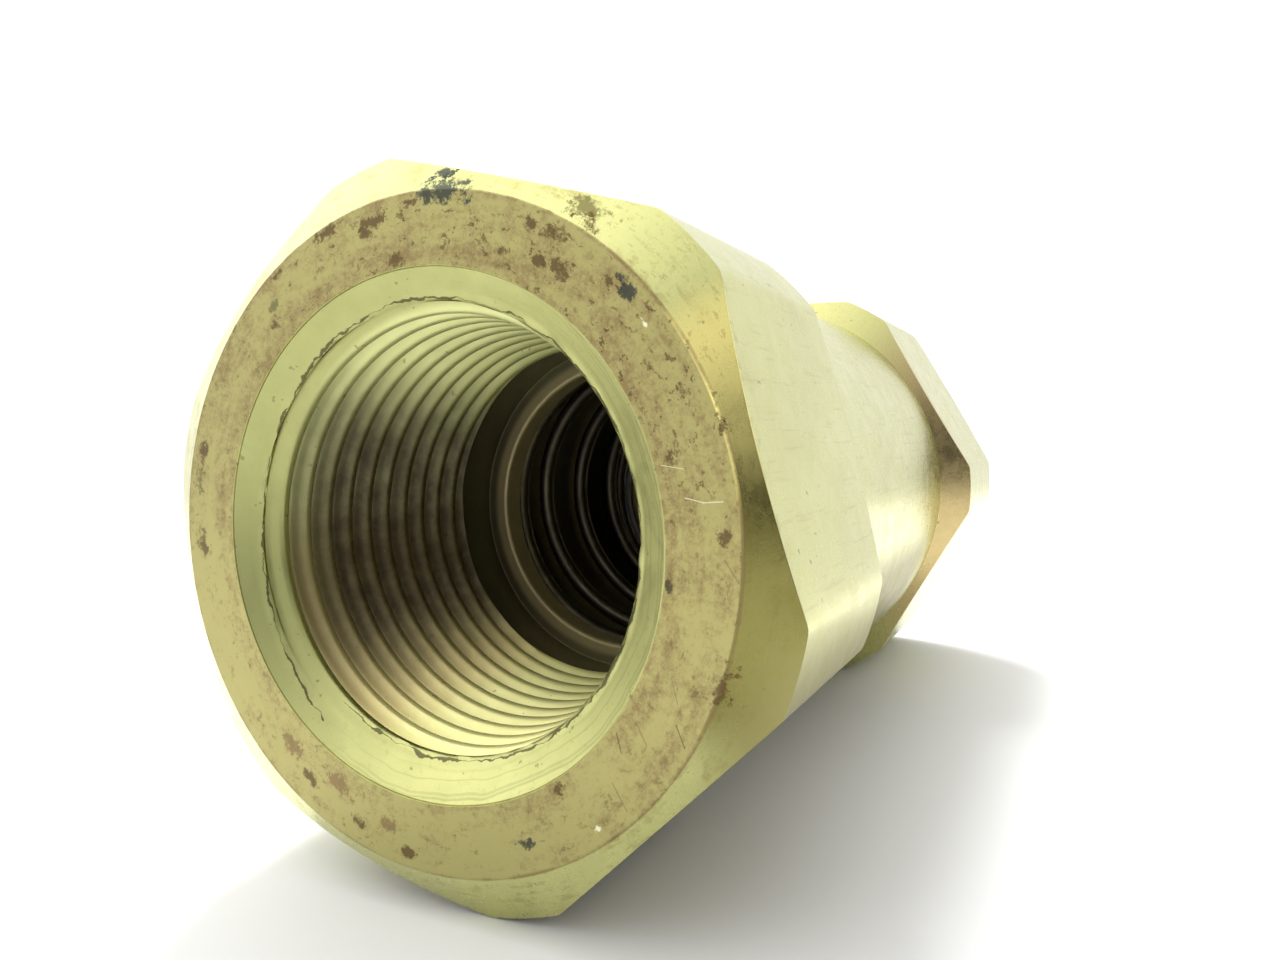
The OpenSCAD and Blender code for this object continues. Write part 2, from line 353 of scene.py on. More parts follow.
def make_inlet_cap():
    seat_wall_x = inlet_x + INLET_THREAD_DEPTH + INLET_RELIEF_LEN
    seat_x = seat_wall_x + SEAT_WALL

    def column(angle):
        rho = hex_radius(angle, 0)
        outer = rounded([
            (inlet_x, MOUTH_R, 0.05),
            (inlet_x, FACE_RING_R, 0.1),
            (inlet_x + (rho - FACE_RING_R) * CHAMFER_SLOPE, rho, 0.06),
            (shoulder_x - (rho - SHOULDER_FACE_R) * CHAMFER_SLOPE, rho, 0.08),
            (shoulder_x, SHOULDER_FACE_R, 0.1),
            (shoulder_x, UNDERCUT_R, 0.1),
            (shoulder_x + UNDERCUT_LEN, UNDERCUT_R, 0.1),
            (shoulder_x + UNDERCUT_LEN, SPIGOT_R, 0.3),
            (spigot_nose_x, SPIGOT_R, 0.3),
            (spigot_nose_x, GUIDE_R, 0.2),
            (seat_x, GUIDE_R, 0.3),
            (seat_x, SEAT_LIP_R, 0.1),
            (seat_x + SEAT_LIP_H, SEAT_LIP_R, 0.15),
            (seat_x + SEAT_LIP_H, SEAT_R, 0.15),
            (seat_wall_x + SEAT_CONE_LEN, SEAT_R, 0.3),
            (seat_wall_x, RELIEF_R, 0.3)])
        return outer + bore_points(inlet_x, 1, INLET_THREAD_DEPTH, seat_wall_x - inlet_x - 0.3, angle, 1)

    rows = len(thread_rows(0, 1, INLET_THREAD_DEPTH)[0])
    return lathe("valve_inlet_cap", hex_angles(0), column, thread_end=rows, thread_hand=1)


def make_spring():
    """Wire swept along the coil, ground flat where it bears."""
    length = lip_back_x - spring_back_x
    open_pitch = (length - 2 * END_RISE - 2 * CLOSED_PITCH) / OPEN_TURNS
    total_turns = OPEN_TURNS + 2
    steps = int(total_turns * 72)
    sides = 16
    verts = []
    for step in range(steps + 1):
        turns = total_turns * step / steps
        height = (END_RISE + CLOSED_PITCH * min(turns, 1) + open_pitch * min(max(turns - 1, 0), OPEN_TURNS)
                  + CLOSED_PITCH * max(turns - 1 - OPEN_TURNS, 0))
        around = SPRING_PHASE + 2 * math.pi * turns
        for side in range(sides):
            section = 2 * math.pi * side / sides
            r = SPRING_R + WIRE_R * math.cos(section)
            x = lip_back_x - height + WIRE_R * math.sin(section)
            x = min(max(x, spring_back_x), lip_back_x)
            verts.append((x * MM, r * math.cos(around) * MM, r * math.sin(around) * MM))
    return finish_mesh("coil_spring", verts, tube_faces(steps, sides), sharp=50)


def ring_piece(name, back_x, front_x, inner_r, outer_r, fillet):
    """A flat ring with eased edges."""
    outline = rounded([
        (front_x, inner_r, fillet),
        (front_x, outer_r, fillet),
        (back_x, outer_r, fillet),
        (back_x, inner_r, fillet)])
    return lathe(name, plain_angles(), lambda angle: outline)


def make_poppet():
    """Sliding closure: guide lands with flow scallops, a nose that centres the spring, a tapped hub."""
    lands_front_x = washer_back_x
    hole_r = SCREW_R + FIT

    def column(angle):
        off = (angle % (2 * math.pi / SCALLOPS)) - math.pi / SCALLOPS
        inside = SCALLOP_R ** 2 - (SCALLOP_OFFSET * math.sin(off)) ** 2
        cut = SCALLOP_OFFSET * math.cos(off) - math.sqrt(inside) if inside > 0 else LAND_R
        rho = min(LAND_R, cut)
        return rounded([
            (hub_front_x, hole_r, 0.25),
            (hub_front_x, HUB_R, 0.3),
            (lands_front_x + NOSE_LEN, HUB_R, 0.2),
            (lands_front_x + NOSE_LEN, NOSE_R, 0.35),
            (lands_front_x, NOSE_R, 0.04),
            (lands_front_x, rho, 0.04),
            (poppet_back_x, rho, 0.04),
            (poppet_back_x, DISC_R + FIT, 0.05),
            (disc_front_x, DISC_R + FIT, 0.05),
            (disc_front_x, hole_r, 0.05)])

    return lathe("poppet_closure", plain_angles(240), column)


def make_screw():
    """Hex screw with a chamfered head and a threaded shank."""
    shank_len = screw_tip_x - lock_back_x
    shank_rows = int(shank_len / SCREW_PITCH * 10)

    def column(angle):
        off = (angle % (math.pi / 3)) - math.pi / 6
        rho = min(SCREW_FLAT_R / math.cos(off), SCREW_CORNER_R)
        head = rounded([
            (screw_back_x, SCREW_FACE_R, 0.1),
            (screw_back_x + (rho - SCREW_FACE_R) * CHAMFER_SLOPE, rho, 0.08),
            (lock_back_x, rho, 0.08)])
        shank = []
        for row in range(shank_rows + 1):
            x = lock_back_x + shank_len * row / shank_rows
            wave = abs(((x / SCREW_PITCH + angle / (2 * math.pi)) % 1) * 2 - 1)
            lead = min(1, (screw_tip_x - x) / 0.5)
            fade = min(1, max(0, (x - lock_back_x - 2.5) / 0.6))
            shank.append(np.array([x, SCREW_R - SCREW_THREAD_DEPTH * wave * fade - 0.5 * (1 - lead)]))
        return [np.array([screw_back_x, 0])] + head + shank + [np.array([screw_tip_x, 0])]

    return lathe("hex_screw", plain_angles(120), column, closed=False)


def make_lock_washer():
    """Split ring whose two ends stand slightly apart."""
    half_gap = 0.1
    angles = np.linspace(half_gap, 2 * math.pi - half_gap, 90)
    section = rounded([
        (lock_front_x, SCREW_R + HOLE_ROOM, 0.1),
        (lock_front_x, LOCK_WASHER_R, 0.1),
        (lock_back_x, LOCK_WASHER_R, 0.1),
        (lock_back_x, SCREW_R + HOLE_ROOM, 0.1)])
    verts = [(x * MM, r * math.cos(angle) * MM, r * math.sin(angle) * MM)
             for angle in angles for x, r in section]
    return finish_mesh("split_washer", verts, tube_faces(len(angles) - 1, len(section)))


def make_seal_ring():
    """The sealing ring's round cord."""
    cord_r = (seal_front_x - seal_back_x) / 2
    middle_x = (seal_front_x + seal_back_x) / 2
    middle_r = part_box("body_seal_ring")[1].y / MM - cord_r
    section = [np.array([middle_x + cord_r * math.sin(t), middle_r + cord_r * math.cos(t)])
               for t in np.linspace(0, 2 * math.pi, 24, endpoint=False)]
    return lathe("seal_ring", plain_angles(), lambda angle: section)


# ---------------------------------------------------------------- materials


class Nodes:
    """Short calls for building a material's node tree."""

    def __init__(self, name):
        self.material = bpy.data.materials.new(name)
        self.material.use_nodes = True
        self.tree = self.material.node_tree
        self.shader = self.tree.nodes["Principled BSDF"]

    def add(self, kind, **settings):
        node = self.tree.nodes.new(kind)
        for key, value in settings.items():
            setattr(node, key, value)
        return node

    def put(self, socket, value):
        if isinstance(value, bpy.types.NodeSocket):
            self.tree.links.new(value, socket)
        else:
            socket.default_value = value

    def math(self, operation, a, b=0.0, clamp=False):
        node = self.add("ShaderNodeMath", operation=operation, use_clamp=clamp)
        for socket, value in zip(node.inputs, (a, b)):
            self.put(socket, value)
        return node.outputs[0]

    def plus(self, a, b):
        return self.math("ADD", a, b)

    def minus(self, a, b):
        return self.math("SUBTRACT", a, b)

    def times(self, a, b):
        return self.math("MULTIPLY", a, b)

    def step(self, value, low, high, to_low=0.0, to_high=1.0):
        """Smooth ramp from to_low to to_high as value goes from low to high."""
        node = self.add("ShaderNodeMapRange", interpolation_type="SMOOTHSTEP")
        for socket, number in zip(node.inputs, (value, low, high, to_low, to_high)):
            self.put(socket, number)
        return node.outputs[0]

    def mix(self, share, a, b):
        node = self.add("ShaderNodeMix", data_type="RGBA")
        self.put(node.inputs[0], share)
        self.put(node.inputs[6], a if isinstance(a, bpy.types.NodeSocket) else (*a, 1))
        self.put(node.inputs[7], b if isinstance(b, bpy.types.NodeSocket) else (*b, 1))
        return node.outputs[2]

    def noise(self, vector, scale, detail=4.0, roughness=0.6):
        """Noise of one size; scale is in waves to the millimetre."""
        node = self.add("ShaderNodeTexNoise")
        self.put(node.inputs["Vector"], vector)
        node.inputs["Scale"].default_value = scale / MM
        node.inputs["Detail"].default_value = detail
        node.inputs["Roughness"].default_value = roughness
        return node.outputs["Fac"]

    def place(self):
        """Object position, x along the flow axis, distance from it and the direction out from it."""
        position = self.add("ShaderNodeTexCoord").outputs["Object"]
        split = self.add("ShaderNodeSeparateXYZ")
        self.put(split.inputs[0], position)
        x, y, z = split.outputs
        radius = self.math("SQRT", self.plus(self.times(y, y), self.times(z, z)))
        outward = self.vector(0.0, self.math("DIVIDE", y, radius), self.math("DIVIDE", z, radius))
        return position, x, radius, outward

    def vector_math(self, operation, a, b=(0, 0, 0), scale=None):
        node = self.add("ShaderNodeVectorMath", operation=operation)
        self.put(node.inputs[0], a)
        self.put(node.inputs[1], b)
        if scale is not None:
            self.put(node.inputs["Scale"], scale)
        return node.outputs["Value" if operation in ("DOT_PRODUCT", "DISTANCE") else "Vector"]

    def toward(self, outward, degrees):
        """How far a place lies on one side of the axis: 1 straight in that direction, -1 opposite."""
        around = math.radians(degrees)
        return self.vector_math("DOT_PRODUCT", outward, (0, math.cos(around), math.sin(around)))

    def turned(self, radius, outward, stretch):
        """A position in which noise comes out as streaks round the axis, stretch times as long as wide."""
        along = self.vector_math("SCALE", outward, scale=STREAK_R / stretch * MM)
        return self.vector_math("ADD", along, self.vector(radius, 0.0, 0.0))

    def vector(self, x, y, z):
        node = self.add("ShaderNodeCombineXYZ")
        for socket, value in zip(node.inputs, (x, y, z)):
            self.put(socket, value)
        return node.outputs[0]

    def bump(self, height, distance, strength=1.0, normal=None):
        node = self.add("ShaderNodeBump")
        node.inputs["Strength"].default_value = strength
        node.inputs["Distance"].default_value = distance * MM
        self.put(node.inputs["Height"], height)
        if normal is not None:
            self.put(node.inputs["Normal"], normal)
        return node.outputs[0]


# Colours of the brass, of the films on it, of the marks and of the light and shade painted on it
CLEAN_BRASS = (0.56, 0.56, 0.235)
# A darker tone for the countersink
COUNTERSINK_TONE = (0.305, 0.315, 0.125)
OLIVE_FILM = (0.385, 0.35, 0.13)
# Painted shade on the right of the port chamfers
CHAMFER_PAINTED_SHADE = (0.17, 0.15, 0.04)
BROWN_FILM = (0.21, 0.14, 0.058)
# Darker tones deep in the bores, on the walls and a lighter one on the lip
DEEP_BORE_TONE = (0.085, 0.07, 0.04)
DEEP_LIP_TONE = (0.38, 0.31, 0.17)
RUST = (0.10, 0.06, 0.02)
INK = (0.02, 0.028, 0.03)
MOSS = (0.15, 0.135, 0.05)
THREAD_BRASS = (0.64, 0.66, 0.29)
# Painted light on the thread's lower side
THREAD_PAINTED_LIGHT = (0.92, 0.89, 0.40)
# Painted shade on the thread's left side
THREAD_PAINTED_SHADE = (0.05, 0.033, 0.013)
# A warmer, darker tone for the inlet hex's inner chamfer
SHOULDER_CHAMFER_TONE = (0.52, 0.40, 0.19)
# Painted shade on the valve's lower sides
UNDERSIDE_PAINTED_SHADE = (0.29, 0.265, 0.105)
# Painted highlight on the right of the port chamfers
CHAMFER_PAINTED_HIGHLIGHT = (0.92, 0.80, 0.28)
# Painted coppery reflection on the thread's lower left
THREAD_PAINTED_REFLECTION = (0.62, 0.47, 0.21)
# Dark grime, also painted shade along the burr in the countersink
GRIME_AND_SHADE = (0.05, 0.04, 0.02)
BARE = (0.80, 0.79, 0.55)

# Distance from the axis at which streaks have their true length, and how much longer than wide a stain is
STREAK_R = 17
STAIN_STRETCH = 1.7

# Marks on the outlet face and its chamfer: angle in degrees, distance from the axis, width, colour
STAINS = [
    (85, 18.9, 2.3, INK), (86, 19.8, 1.1, INK), (59, 19.9, 1.5, MOSS), (57, 19.2, 1.0, RUST),
    (111, 18.4, 1.2, RUST), (100, 17.8, 1.2, RUST), (102, 17.3, 0.8, RUST), (92, 18.3, 0.8, RUST),
    (96, 15.4, 1.2, RUST), (131, 16.4, 1.0, RUST), (129, 17.2, 0.7, MOSS), (125, 18.5, 0.7, RUST),
    (165, 17.9, 1.2, RUST), (171, 17.9, 1.3, MOSS), (184, 17.6, 1.4, RUST), (57, 16.6, 1.2, RUST),
    (61, 18.0, 1.1, RUST), (66, 17.9, 0.8, RUST), (62, 16.4, 0.7, RUST), (70, 16.1, 0.8, RUST),
    (45, 17.9, 1.1, INK), (48, 17.7, 0.8, RUST), (26, 17.5, 0.8, RUST), (17, 15.8, 0.8, RUST),
    (19, 18.7, 0.7, RUST), (3, 17.8, 0.9, RUST), (247, 16.1, 2.0, BROWN_FILM), (262, 16.9, 1.2, BROWN_FILM),
    (232, 16.4, 1.6, BROWN_FILM), (240, 17.2, 1.0, RUST), (254, 17.6, 1.1, RUST), (266, 18.0, 0.8, RUST),
    (293, 17.2, 0.8, INK), (305, 15.2, 0.9, RUST), (341, 18.8, 1.3, RUST), (354, 15.1, 0.8, GRIME_AND_SHADE),
    (348, 21.0, 0.9, INK), (308, 18.0, 0.4, BARE), (39, 17.6, 0.33, BARE)]

# Scratches on the outlet face: angle and distance of one end, then of the other, width, colour
SCRATCHES = [
    (8.3, 18.0, 8.5, 17.0, 0.035, BARE), (8.5, 17.0, 9.7, 16.1, 0.035, BARE),
    (14.5, 16.3, 16.2, 15.2, 0.025, BARE),
    (314.5, 18.2, 315.6, 16.7, 0.05, BROWN_FILM), (321.0, 16.0, 323.2, 15.2, 0.05, GRIME_AND_SHADE),
    (325.5, 16.8, 327.6, 15.7, 0.05, BROWN_FILM), (329.6, 18.4, 331.8, 17.5, 0.05, GRIME_AND_SHADE),
    (335.0, 17.1, 338.5, 16.3, 0.04, BROWN_FILM), (356.5, 18.6, 359.5, 17.9, 0.06, BROWN_FILM)]


def polar(degrees, distance):
    """Place on the outlet face, in metres."""
    around = math.radians(degrees)
    return Vector((0, distance * math.cos(around), distance * math.sin(around))) * MM


def add_stains(n, m, colour):
    """Lays each stain over colour, drawn out round the axis, its outline broken up by noise."""
    streaked = n.turned(m.radius, m.outward, STAIN_STRETCH)
    elsewhere = n.times(n.minus(1.0, m.at_outlet), 9.0)
    wobble = n.plus(n.times(n.noise(m.position, 1.1, 5, 0.78), 2.2), elsewhere)
    for degrees, distance, width, stain in STAINS:
        centre = polar(degrees, STREAK_R / STAIN_STRETCH) + Vector((distance * MM, 0, 0))
        away = n.math("DIVIDE", n.vector_math("DISTANCE", streaked, centre), width * MM)
        mask = n.step(n.plus(away, wobble), 1.52, 1.25, 0, 0.88)
        colour = n.mix(mask, colour, stain)
    return colour


def add_scratches(n, m, colour):
    """Draws each scratch on the outlet face as a thin line between its two ends."""
    on_outlet_face = n.times(m.on_face, m.at_outlet)
    flat_position = n.vector_math("MULTIPLY", m.position, (0, 1, 1))
    for degrees_a, distance_a, degrees_b, distance_b, width, mark in SCRATCHES:
        start = polar(degrees_a, distance_a)
        along = polar(degrees_b, distance_b) - start
        offset = n.vector_math("SUBTRACT", flat_position, start)
        share = n.vector_math("DOT_PRODUCT", offset, along)
        share = n.math("DIVIDE", share, along.length_squared, clamp=True)
        away = n.vector_math("DISTANCE", offset, n.vector_math("SCALE", tuple(along), scale=share))
        line = n.step(away, width * MM, 0.4 * width * MM, 0, 0.6)
        colour = n.mix(n.times(line, on_outlet_face), colour, mark)
    return colour


def add_burr_line(n, m, colour):
    """Dark ragged line along the burr in the countersink, at burr_depth's depths: grime and painted shade.
    """
    wander = n.times(n.minus(n.noise(m.position, 0.9, 3, 0.6), 0.5), 0.4 * MM)
    swell = n.step(n.noise(m.position, 0.5, 2, 0.6), 0.40, 0.70, 0.012 * MM, 0.10 * MM)
    split = n.add("ShaderNodeSeparateXYZ")
    n.put(split.inputs[0], m.outward)
    angle = n.math("ARCTAN2", split.outputs[2], split.outputs[1])
    turned = n.math("FLOORED_MODULO", n.minus(BURR_END, angle), 2 * math.pi)
    first = n.times(n.math("DIVIDE", turned, BURR_TURNS[0], clamp=True), BURR_RISE[1] * MM)
    second = n.math("DIVIDE", n.minus(turned, BURR_TURNS[1]), BURR_TURNS[2], clamp=True)
    second = n.times(second, BURR_RISE[2] * MM)
    line_depth = n.plus(n.plus(first, second), BURR_RISE[0] * MM)
    off_line = n.math("ABSOLUTE", n.plus(n.minus(m.depth, line_depth), wander))
    line = n.step(n.math("DIVIDE", off_line, swell), 1.0, 0.6, 0.0, 0.8)
    # Grime and painted shade along the burr
    return n.mix(m.in_bore, colour, n.mix(line, colour, GRIME_AND_SHADE))


def brass_places(n):
    """Where a point lies on the valve's brass, with the masks and noises that its films and its painted
    shade share.
    """
    m = SimpleNamespace()
    m.position, m.x, m.radius, m.outward = n.place()
    m.depth = n.minus(outlet_x * MM, n.math("ABSOLUTE", m.x))
    m.broad = n.noise(m.position, 0.12, 3, 0.6)
    m.mottle = n.noise(m.position, 0.55, 5, 0.7)
    m.fine = n.noise(m.position, 2.4, 4, 0.75)
    # The distance from the axis less x, so that streaks and pits differ between the two ports
    m.skewed = n.minus(m.radius, m.x)
    m.streak = n.noise(n.turned(m.skewed, m.outward, 5), 0.9, 4, 0.7)
    m.in_bore = n.step(m.radius, (MOUTH_R + 0.08) * MM, (MOUTH_R - 0.07) * MM)
    m.outside = n.minus(1.0, m.in_bore)
    m.on_face = n.times(n.step(m.depth, 0.06 * MM, 0.02 * MM), m.outside)
    m.near_face = n.times(n.step(m.depth, 2.4 * MM, 0.8 * MM), m.outside)
    m.at_outlet = n.times(m.near_face, n.step(m.x, 0.0, MM))
    m.off_rim = n.minus(m.radius, FACE_RING_R * MM)
    off_cone = n.math("ABSOLUTE", n.minus(m.off_rim, n.math("DIVIDE", m.depth, CHAMFER_SLOPE)))
    m.on_chamfer = n.times(n.step(off_cone, 0.16 * MM, 0.06 * MM), m.outside)
    m.in_thread = n.times(m.in_bore, n.step(m.depth, 1.9 * MM, 2.3 * MM))
    m.upward = n.toward(m.outward, 65)
    # Painted shade on the body's lower sides, between shoulder and outlet face, not on the lowest chamfer
    lowest = n.times(m.on_chamfer, n.step(n.toward(m.outward, -85), 0.6, 0.9))
    underside = n.times(n.step(n.toward(m.outward, -60), 0.6, 0.76, 0.0, 0.95), m.outside)
    underside = n.times(underside, n.step(m.x, shoulder_x * MM, (shoulder_x + 8) * MM))
    underside = n.times(underside, n.step(m.depth, 0.0, 2.0 * MM))
    m.underside = n.times(underside, n.minus(1.0, lowest))
    return m


def clean_brass(n, m):
    """Clean metal with faint scratches along the valve."""
    colour = n.mix(n.step(m.broad, 0.35, 0.7, 0.0, 0.2), CLEAN_BRASS, OLIVE_FILM)
    drawn = n.noise(n.vector_math("MULTIPLY", m.position, (0.05, 1, 1)), 2.6, 3, 0.7)
    return n.mix(n.step(drawn, 0.56, 0.68, 0.0, 0.35), colour, OLIVE_FILM)


def add_face_film(n, m, colour):
    """Olive film over the port faces, which spreads past their rims, with a mottled brown one on it."""
    spread = n.times(m.near_face, n.step(n.plus(m.mottle, m.streak), 1.02, 1.2, 0.0, 0.6))
    colour = n.mix(n.math("MAXIMUM", m.on_face, spread), colour, OLIVE_FILM)
    film = n.plus(n.times(m.streak, 0.4), n.times(m.mottle, 0.3))
    film = n.plus(film, n.times(m.fine, 0.35))
    film = n.plus(film, n.times(n.noise(m.position, 7.0, 2, 0.7), 0.2))
    film = n.plus(film, n.step(m.radius, 16.5 * MM, 15.6 * MM, 0.0, 0.05))
    film = n.plus(film, n.step(m.upward, -0.9, 0.2, -0.07, 0.0))
    return n.mix(n.times(n.step(film, 0.56, 0.79, 0.05, 0.85), m.on_face), colour, BROWN_FILM)


def add_chamfer_light_and_shade(n, m, colour):
    """Painted highlight on the right of the port chamfers, with painted shade just below it."""
    # Painted highlight, a little above the right side
    chamfer_highlight = n.times(m.on_chamfer, n.step(n.toward(m.outward, 20), 0.94, 0.985, 0.0, 0.9))
    colour = n.mix(chamfer_highlight, colour, CHAMFER_PAINTED_HIGHLIGHT)
    # Painted shade, a little below the right side
    chamfer_shade = n.times(m.on_chamfer, n.step(n.toward(m.outward, -8), 0.90, 0.98, 0.0, 0.9))
    return n.mix(chamfer_shade, colour, CHAMFER_PAINTED_SHADE)


def add_pits(n, m, colour):
    """Small rusty pits, crowded on the upper side of the faces."""
    pits = n.step(n.noise(n.turned(m.skewed, m.outward, 1.6), 2.0, 3, 0.8), 0.58, 0.63, 0.0, 0.85)
    crowd = n.plus(n.step(m.upward, 0.3, 0.8, 0.0, 0.5), n.step(m.mottle, 0.40, 0.60, 0.0, 0.5))
    pitted = n.math("MAXIMUM", m.on_face, n.times(m.near_face, 0.35))
    return n.mix(n.times(n.times(pits, crowd), pitted), colour, RUST)


def add_edge_films_and_shade(n, m, colour):
    """A warmer, darker tone on the inlet hex's inner chamfer, mostly on its right, painted shade on the
    lower sides, brown along the face rims.
    """
    # A warmer, darker tone on the inlet hex's inner chamfer, mostly on its right
    off_chamfer = n.math("ABSOLUTE", n.minus(m.x, (shoulder_x - 0.9) * MM))
    warm_side = n.times(n.step(off_chamfer, 1.1 * MM, 0.9 * MM), n.step(m.radius, 18.6 * MM, 19.1 * MM))
    warm_side = n.times(warm_side, n.step(n.toward(m.outward, 0), 0.55, 0.85, 0.1, 0.9))
    colour = n.mix(warm_side, colour, SHOULDER_CHAMFER_TONE)
    # Painted shade on the lower sides
    colour = n.mix(m.underside, colour, UNDERSIDE_PAINTED_SHADE)
    rim = n.times(n.step(n.math("ABSOLUTE", m.off_rim), 0.16 * MM, 0.03 * MM), m.near_face)
    return n.mix(n.times(rim, n.step(m.mottle, 0.4, 0.6, 0.05, 0.6)), colour, BROWN_FILM)


def add_bore_colours(n, m, colour):
    """A darker tone in the countersink; on the thread painted light below, a painted coppery reflection at
    the lower left and painted shade on the left; darker tones behind the thread.
    """
    wavy_depth = n.plus(m.depth, n.times(m.broad, MM))
    ridges = n.noise(n.vector(wavy_depth, 0.0, 0.0), 2.2, 3, 0.8)
    # The countersink's darker tone, heavier on its upper left, and in rings along its depth
    leftward = n.step(n.toward(m.outward, -30), 0.6, -0.7, 0.15, 0.8)
    countersink_toned = n.math("MAXIMUM", leftward, n.step(ridges, 0.48, 0.62, 0.0, 0.6))
    colour = n.mix(n.times(m.in_bore, countersink_toned), colour, COUNTERSINK_TONE)

    # Painted light on the thread's lower side, then a painted coppery reflection on its lower left
    thread = n.mix(n.step(n.toward(m.outward, -80), 0.1, 0.8), THREAD_BRASS, THREAD_PAINTED_LIGHT)
    thread = n.mix(n.step(n.toward(m.outward, 215), 0.72, 0.96, 0.0, 0.7), thread, THREAD_PAINTED_REFLECTION)
    # Painted shade on the thread's left side, mottled and weaker near the mouth
    thread_shade = n.step(n.toward(m.outward, 184), 0.45, 0.93)
    thread_shade = n.times(thread_shade, n.step(m.mottle, 0.2, 0.7, 0.85, 0.97))
    thread_shade = n.times(thread_shade, n.step(m.depth, 2 * MM, 7 * MM, 0.55, 1.0))
    thread = n.mix(thread_shade, thread, THREAD_PAINTED_SHADE)
    colour = n.mix(m.in_thread, colour, thread)

    # Darker deep in the bore behind the thread, less dark on the lip
    behind = n.times(m.in_bore, n.step(m.depth, 19.6 * MM, 20.4 * MM, 0.0, 0.88))
    deep_tone = n.mix(n.step(m.radius, 11.6 * MM, 12.2 * MM), DEEP_LIP_TONE, DEEP_BORE_TONE)
    return n.mix(behind, colour, deep_tone)


def brass_material():
    """Machined brass, tarnished on its port faces, with painted light and shade on its chamfers, its threads
    and its lower sides, and dark deep in the bores.
    """
    n = Nodes("valve_brass")
    m = brass_places(n)
    colour = clean_brass(n, m)
    colour = add_face_film(n, m, colour)
    colour = add_chamfer_light_and_shade(n, m, colour)
    colour = add_pits(n, m, colour)
    colour = add_edge_films_and_shade(n, m, colour)
    colour = add_stains(n, m, colour)
    colour = add_scratches(n, m, colour)
    colour = add_bore_colours(n, m, colour)
    colour = add_burr_line(n, m, colour)
    specks = n.step(n.noise(m.position, 1.3, 2, 0.6), 0.70, 0.74, 0.0, 0.55)
    n.put(n.shader.inputs["Base Color"], n.mix(specks, colour, MOSS))

    tarnished = n.math("MAXIMUM", n.times(m.on_face, 0.3), n.times(m.in_thread, 0.5))
    n.put(n.shader.inputs["Metallic"], n.minus(1.0, tarnished))
    rougher = n.math("MAXIMUM", n.math("MAXIMUM", m.on_face, m.in_bore), m.underside)
    roughness = n.plus(n.step(m.mottle, 0.3, 0.7, 0.22, 0.32), n.times(rougher, 0.14))
    n.put(n.shader.inputs["Roughness"], roughness)
    turning = n.noise(n.vector(m.x, m.radius, 0.0), 4.0, 3, 0.7)
    normal = n.bump(turning, 0.010, 0.7)
    n.put(n.shader.inputs["Normal"], n.bump(m.fine, 0.012, 0.5, normal))
    return n.material


def metal_material(name, colour, roughness, marks):
    """Plain turned or drawn metal with fine marks."""
    n = Nodes(name)
    position, x, radius, _ = n.place()
    cloud = n.noise(position, 0.4, 4, 0.6)
    darker = tuple(0.6 * c for c in colour)
    n.put(n.shader.inputs["Base Color"], n.mix(n.step(cloud, 0.35, 0.7, 0, 0.5), colour, darker))
    n.shader.inputs["Metallic"].default_value = 1.0
    n.put(n.shader.inputs["Roughness"], n.step(cloud, 0.3, 0.7, roughness, roughness + 0.12))
    turning = n.noise(n.vector(x, radius, 0.0), marks, 3, 0.7)
    n.put(n.shader.inputs["Normal"], n.bump(turning, 0.01, 0.6))
    return n.material


def rubber_material():
    n = Nodes("nitrile")
    dust = n.noise(n.place()[0], 1.5, 4, 0.6)
    dusty = n.mix(n.step(dust, 0.5, 0.8), (0.012, 0.012, 0.012), (0.04, 0.04, 0.038))
    n.put(n.shader.inputs["Base Color"], dusty)
    n.shader.inputs["Roughness"].default_value = 0.55
    n.put(n.shader.inputs["Normal"], n.bump(dust, 0.02, 0.5))
    return n.material


def floor_material():
    n = Nodes("table_white")
    cloud = n.noise(n.place()[0], 0.01)
    n.put(n.shader.inputs["Base Color"], n.mix(cloud, (0.74, 0.74, 0.74), (0.78, 0.78, 0.78)))
    n.shader.inputs["Roughness"].default_value = 0.6
    return n.material


# ---------------------------------------------------------------- put the valve together


def assemble(piece, body, replaced, material):
    """Gives a piece its material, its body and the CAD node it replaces."""
    piece.data.materials.append(material)
    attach(piece, body)
    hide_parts(replaced)
    return piece


brass = brass_material()
poppet_brass = metal_material("poppet_brass", (0.62, 0.50, 0.26), 0.3, 3.0)
wire_steel = metal_material("wire_steel", (0.13, 0.115, 0.09), 0.42, 1.0)
stainless = metal_material("stainless", (0.60, 0.59, 0.57), 0.28, 2.5)
nitrile = rubber_material()

assemble(make_body(), "valve", "body", brass)
assemble(make_inlet_cap(), "valve", "inlet_cap", brass)
assemble(make_seal_ring(), "valve", "body_seal_ring", nitrile)
spring = assemble(make_spring(), "valve", "spring", wire_steel)
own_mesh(spring)
assemble(make_poppet(), "poppet", "poppet", poppet_brass)
assemble(ring_piece("thrust_washer", washer_back_x, washer_front_x, NOSE_R + 0.2, SPRING_R + WIRE_R, 0.08),
         "poppet", "spring_washer", stainless)
assemble(ring_piece("soft_disc", disc_back_x, disc_front_x, SCREW_R + FIT, DISC_R, 0.1),
         "poppet", "seat_disc", nitrile)
assemble(ring_piece("retainer_washer", retainer_back_x, retainer_front_x, SCREW_R + HOLE_ROOM,
                    RETAINER_R, 0.15),
         "poppet", "disc_retainer", stainless)
assemble(make_lock_washer(), "poppet", "lock_washer", stainless)
assemble(make_screw(), "poppet", "retaining_screw", stainless)

# ---------------------------------------------------------------- floor, camera and light


